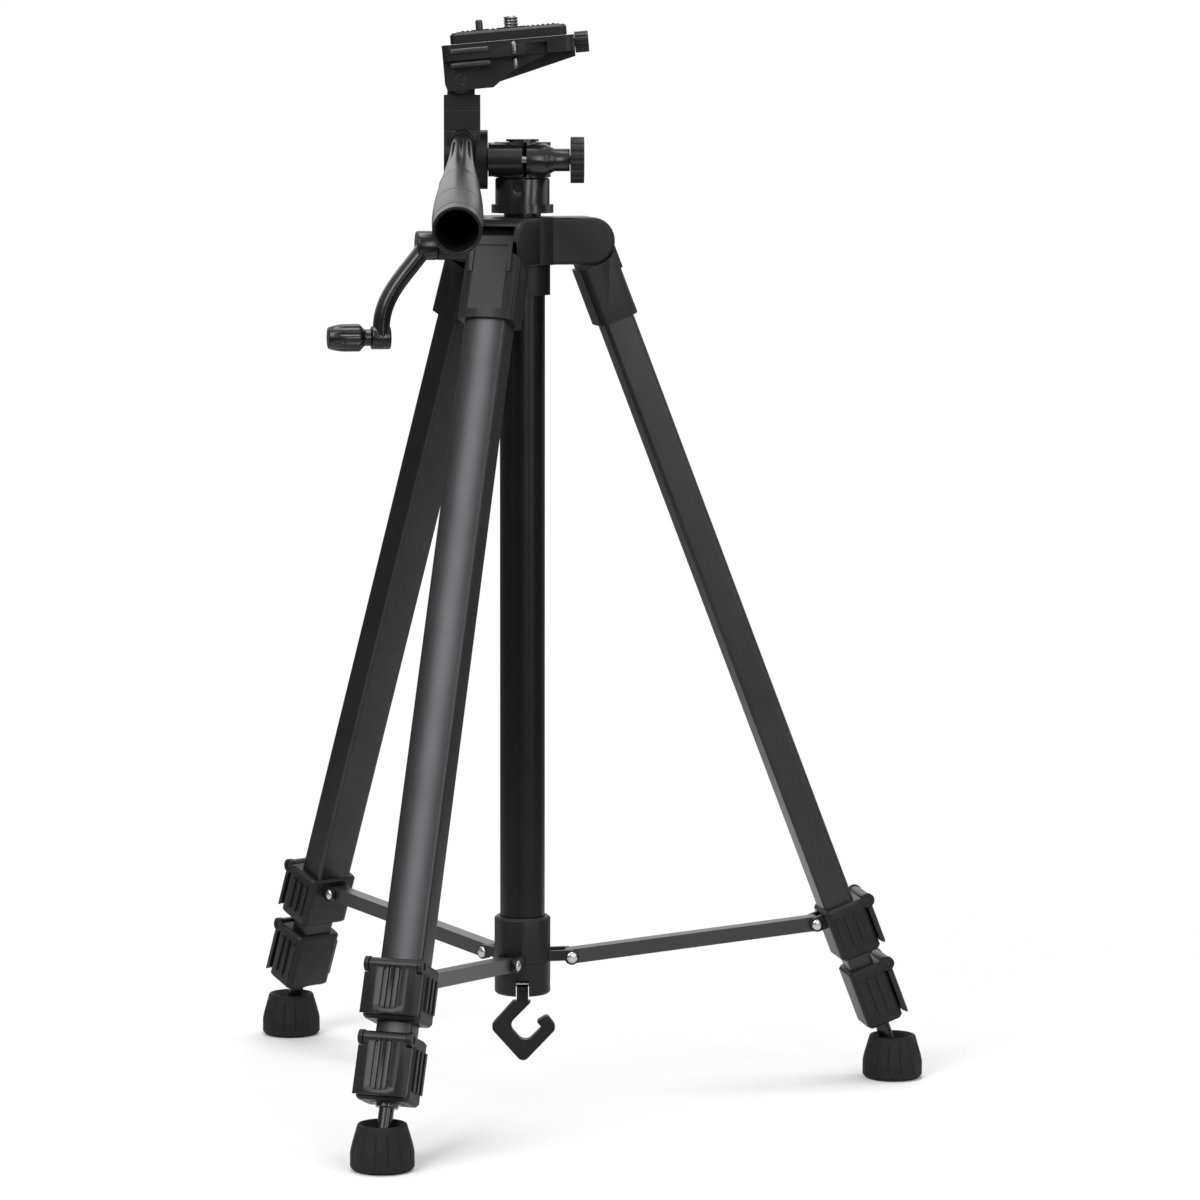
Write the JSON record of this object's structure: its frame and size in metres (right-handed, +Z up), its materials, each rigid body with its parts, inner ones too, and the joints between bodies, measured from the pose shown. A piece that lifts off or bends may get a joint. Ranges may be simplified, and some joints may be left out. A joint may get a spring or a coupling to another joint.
{
  "type": "tripod",
  "caption": "Folding tripod with telescopic legs, flip locks, a centre spreader, a geared column with crank, and a three-way pan head with a quick plate.",
  "frame": {"origin": "on the floor, on the axis of the centre column", "axes": "+Z up along the column; -Y is the front, where the pan handle points; +X is to the right of it"},
  "size_m": [0.305, 0.3256, 0.4797],
  "materials": {
    "black_plastic": "satin",
    "glossy_grip": "gloss",
    "black_tube": "satin anodised",
    "leg_tube": "satin anodised",
    "brace_steel": "satin",
    "steel": "bright",
    "foot_rubber": "matt"
  },
  "bodies": {
    "crown": {"crown": "black_plastic", "centre_tube": "black_tube", "end_cap": "black_plastic", "hook_pin": "steel"},
    "hub": {"spreader_hub": "black_plastic", "hub_rivets": "steel"},
    "front_brace_arm": {"front_brace": "brace_steel"},
    "front_leg": {"front_socket": "black_plastic", "front_upper_tube": "leg_tube", "front_upper_collar": "black_plastic", "front_lug_rivet": "steel"},
    "front_upper_lock": {"front_upper_lever": "black_plastic"},
    "front_middle_section": {"front_middle_tube": "leg_tube", "front_lower_collar": "black_plastic"},
    "front_lower_lock": {"front_lower_lever": "black_plastic"},
    "front_lower_section": {"front_lower_tube": "leg_tube", "front_ball_stud": "black_plastic"},
    "front_foot_pad": {"front_foot": "foot_rubber"},
    "right_brace_arm": {"right_brace": "brace_steel"},
    "right_leg": {"right_socket": "black_plastic", "right_upper_tube": "leg_tube", "right_upper_collar": "black_plastic", "right_lug_rivet": "steel"},
    "right_upper_lock": {"right_upper_lever": "black_plastic"},
    "right_middle_section": {"right_middle_tube": "leg_tube", "right_lower_collar": "black_plastic"},
    "right_lower_lock": {"right_lower_lever": "black_plastic"},
    "right_lower_section": {"right_lower_tube": "leg_tube", "right_ball_stud": "black_plastic"},
    "right_foot_pad": {"right_foot": "foot_rubber"},
    "left_brace_arm": {"left_brace": "brace_steel"},
    "left_leg": {"left_socket": "black_plastic", "left_upper_tube": "leg_tube", "left_upper_collar": "black_plastic", "left_lug_rivet": "steel"},
    "left_upper_lock": {"left_upper_lever": "black_plastic"},
    "left_middle_section": {"left_middle_tube": "leg_tube", "left_lower_collar": "black_plastic"},
    "left_lower_lock": {"left_lower_lever": "black_plastic"},
    "left_lower_section": {"left_lower_tube": "leg_tube", "left_ball_stud": "black_plastic"},
    "left_foot_pad": {"left_foot": "foot_rubber"},
    "column": {"centre_column": "black_tube", "column_rack": "steel", "pan_base": "black_plastic"},
    "crank": {"crank_pinion": "steel", "crank_arm": "black_plastic"},
    "crank_grip": {"crank_knob": "glossy_grip"},
    "weight_hook": {"hook": "black_plastic"},
    "pan_head": {"pan_clamp": "black_plastic"},
    "pan_lock": {"pan_knob": "black_plastic"},
    "tilt_head": {"tilt_bracket": "black_plastic"},
    "pan_handle": {"handle_rod": "steel", "handle_grip": "glossy_grip"},
    "platform_head": {"platform": "black_plastic", "flip_pin": "steel"},
    "plate": {"quick_plate": "black_plastic"},
    "screw": {"camera_screw": "steel"},
    "locator": {"locating_pin": "steel"},
    "plate_lock": {"plate_lock_knob": "black_plastic"}
  },
  "joints": [
    {"name": "hub_slide", "type": "slide", "parent": "crown", "child": "hub", "axis": [0, 0, 1], "range_m": [0, 0.10736]},
    {"name": "front_brace_hinge", "type": "hinge", "parent": "hub", "child": "front_brace_arm", "pos_m": [-0.00735, -0.0202, 0.0605], "axis": [0.9397, -0.342, 0], "range_deg": [-0.05, 94.08]},
    {"name": "front_leg_hinge", "type": "hinge", "parent": "front_brace_arm", "child": "front_leg", "pos_m": [-0.04591, -0.12613, 0.072], "axis": [0.9397, -0.342, 0], "range_deg": [-74.58, 0.05]},
    {"name": "front_upper_lever_hinge", "type": "hinge", "parent": "front_leg", "child": "front_upper_lock", "pos_m": [-0.05321, -0.1462, 0.08362], "axis": [-0.9397, 0.342, 0], "range_deg": [0, 110]},
    {"name": "front_middle_slide", "type": "slide", "parent": "front_leg", "child": "front_middle_section", "axis": [-0.1226, -0.3368, -0.9336], "range_m": [0, 0.245]},
    {"name": "front_lower_lever_hinge", "type": "hinge", "parent": "front_middle_section", "child": "front_lower_lock", "pos_m": [-0.05651, -0.15526, 0.05433], "axis": [-0.9397, 0.342, 0], "range_deg": [0, 110]},
    {"name": "front_lower_slide", "type": "slide", "parent": "front_middle_section", "child": "front_lower_section", "axis": [-0.1226, -0.3368, -0.9336], "range_m": [0, 0.245]},
    {"name": "front_foot_swivel", "type": "hinge", "parent": "front_lower_section", "child": "front_foot_pad", "pos_m": [-0.05843, -0.16054, 0.0115], "axis": [0.9397, -0.342, 0], "range_deg": [-50, 9]},
    {"name": "right_brace_hinge", "type": "hinge", "parent": "hub", "child": "right_brace_arm", "pos_m": [0.02117, 0.00373, 0.0605], "axis": [-0.1736, 0.9848, 0], "range_deg": [-0.05, 94.08]},
    {"name": "right_leg_hinge", "type": "hinge", "parent": "right_brace_arm", "child": "right_leg", "pos_m": [0.13219, 0.02331, 0.072], "axis": [-0.1736, 0.9848, 0], "range_deg": [-74.58, 0.05]},
    {"name": "right_upper_lever_hinge", "type": "hinge", "parent": "right_leg", "child": "right_upper_lock", "pos_m": [0.15322, 0.02702, 0.08362], "axis": [0.1736, -0.9848, 0], "range_deg": [0, 110]},
    {"name": "right_middle_slide", "type": "slide", "parent": "right_leg", "child": "right_middle_section", "axis": [0.3529, 0.0622, -0.9336], "range_m": [0, 0.245]},
    {"name": "right_lower_lever_hinge", "type": "hinge", "parent": "right_middle_section", "child": "right_lower_lock", "pos_m": [0.16271, 0.02869, 0.05433], "axis": [0.1736, -0.9848, 0], "range_deg": [0, 110]},
    {"name": "right_lower_slide", "type": "slide", "parent": "right_middle_section", "child": "right_lower_section", "axis": [0.3529, 0.0622, -0.9336], "range_m": [0, 0.245]},
    {"name": "right_foot_swivel", "type": "hinge", "parent": "right_lower_section", "child": "right_foot_pad", "pos_m": [0.16825, 0.02967, 0.0115], "axis": [-0.1736, 0.9848, 0], "range_deg": [-50, 9]},
    {"name": "left_brace_hinge", "type": "hinge", "parent": "hub", "child": "left_brace_arm", "pos_m": [-0.01382, 0.01647, 0.0605], "axis": [-0.766, -0.6428, 0], "range_deg": [-0.05, 94.08]},
    {"name": "left_leg_hinge", "type": "hinge", "parent": "left_brace_arm", "child": "left_leg", "pos_m": [-0.08628, 0.10283, 0.072], "axis": [-0.766, -0.6428, 0], "range_deg": [-74.58, 0.05]},
    {"name": "left_upper_lever_hinge", "type": "hinge", "parent": "left_leg", "child": "left_upper_lock", "pos_m": [-0.10001, 0.11918, 0.08362], "axis": [0.766, 0.6428, 0], "range_deg": [0, 110]},
    {"name": "left_middle_slide", "type": "slide", "parent": "left_leg", "child": "left_middle_section", "axis": [-0.2304, 0.2745, -0.9336], "range_m": [0, 0.245]},
    {"name": "left_lower_lever_hinge", "type": "hinge", "parent": "left_middle_section", "child": "left_lower_lock", "pos_m": [-0.1062, 0.12657, 0.05433], "axis": [0.766, 0.6428, 0], "range_deg": [0, 110]},
    {"name": "left_lower_slide", "type": "slide", "parent": "left_middle_section", "child": "left_lower_section", "axis": [-0.2304, 0.2745, -0.9336], "range_m": [0, 0.245]},
    {"name": "left_foot_swivel", "type": "hinge", "parent": "left_lower_section", "child": "left_foot_pad", "pos_m": [-0.10981, 0.13087, 0.0115], "axis": [-0.766, -0.6428, 0], "range_deg": [-50, 9]},
    {"name": "column_lift", "type": "slide", "parent": "crown", "child": "column", "axis": [0, 0, 1], "range_m": [0, 0.2]},
    {"name": "crank_turn", "type": "hinge", "parent": "crown", "child": "crank", "pos_m": [-0.00128, 0.00729, 0.37881], "axis": [-0.9848, -0.1736, 0], "range_deg": [-1, 2048]},
    {"name": "crank_knob_spin", "type": "hinge", "parent": "crank", "child": "crank_grip", "pos_m": [-0.00128, 0.00729, 0.33831], "axis": [-0.9848, -0.1736, 0], "continuous": true},
    {"name": "hook_swing", "type": "hinge", "parent": "crown", "child": "weight_hook", "pos_m": [0, 0, 0.0485], "axis": [1, 0, 0], "range_deg": [-40, 40]},
    {"name": "pan_turn", "type": "hinge", "parent": "column", "child": "pan_head", "pos_m": [0, 0, 0.41661], "axis": [0, 0, 1], "continuous": true},
    {"name": "pan_knob_turn", "type": "hinge", "parent": "pan_head", "child": "pan_lock", "pos_m": [0, -0.0092, 0.41661], "axis": [1, 0, 0], "range_deg": [0, 360]},
    {"name": "tilt_turn", "type": "hinge", "parent": "pan_head", "child": "tilt_head", "pos_m": [0, 0, 0.41661], "axis": [1, 0, 0], "range_deg": [-90, 20]},
    {"name": "handle_twist", "type": "hinge", "parent": "tilt_head", "child": "pan_handle", "pos_m": [-0.0265, -0.0065, 0.42491], "axis": [0, -0.9816, -0.1908], "range_deg": [0, 360]},
    {"name": "platform_flip", "type": "hinge", "parent": "tilt_head", "child": "platform_head", "pos_m": [-0.027, 0, 0.45161], "axis": [0, -1, 0], "range_deg": [-5, 85]},
    {"name": "plate_lift", "type": "slide", "parent": "platform_head", "child": "plate", "axis": [-0.0872, 0, 0.9962], "range_m": [0, 0.03]},
    {"name": "screw_turn", "type": "hinge", "parent": "plate", "child": "screw", "pos_m": [-0.00488, 0, 0.47413], "axis": [-0.0872, 0, 0.9962], "continuous": true},
    {"name": "locator_press", "type": "slide", "parent": "plate", "child": "locator", "axis": [0.0872, 0, -0.9962], "range_m": [0, 0.0045], "stiffness_N_per_m": 200, "springref_m": -0.003},
    {"name": "plate_lock_turn", "type": "hinge", "parent": "platform_head", "child": "plate_lock", "pos_m": [0.02276, 0, 0.46801], "axis": [0.9962, 0, 0.0872], "range_deg": [0, 180]}
  ],
  "couplings": [
    {"joint": "front_brace_hinge", "follows": "hub_slide", "rad_per_m": 15.287},
    {"joint": "front_leg_hinge", "follows": "hub_slide", "rad_per_m": -12.117},
    {"joint": "right_brace_hinge", "follows": "hub_slide", "rad_per_m": 15.287},
    {"joint": "right_leg_hinge", "follows": "hub_slide", "rad_per_m": -12.117},
    {"joint": "left_brace_hinge", "follows": "hub_slide", "rad_per_m": 15.287},
    {"joint": "left_leg_hinge", "follows": "hub_slide", "rad_per_m": -12.117},
    {"joint": "crank_turn", "follows": "column_lift", "rad_per_m": 178.57}
  ]
}
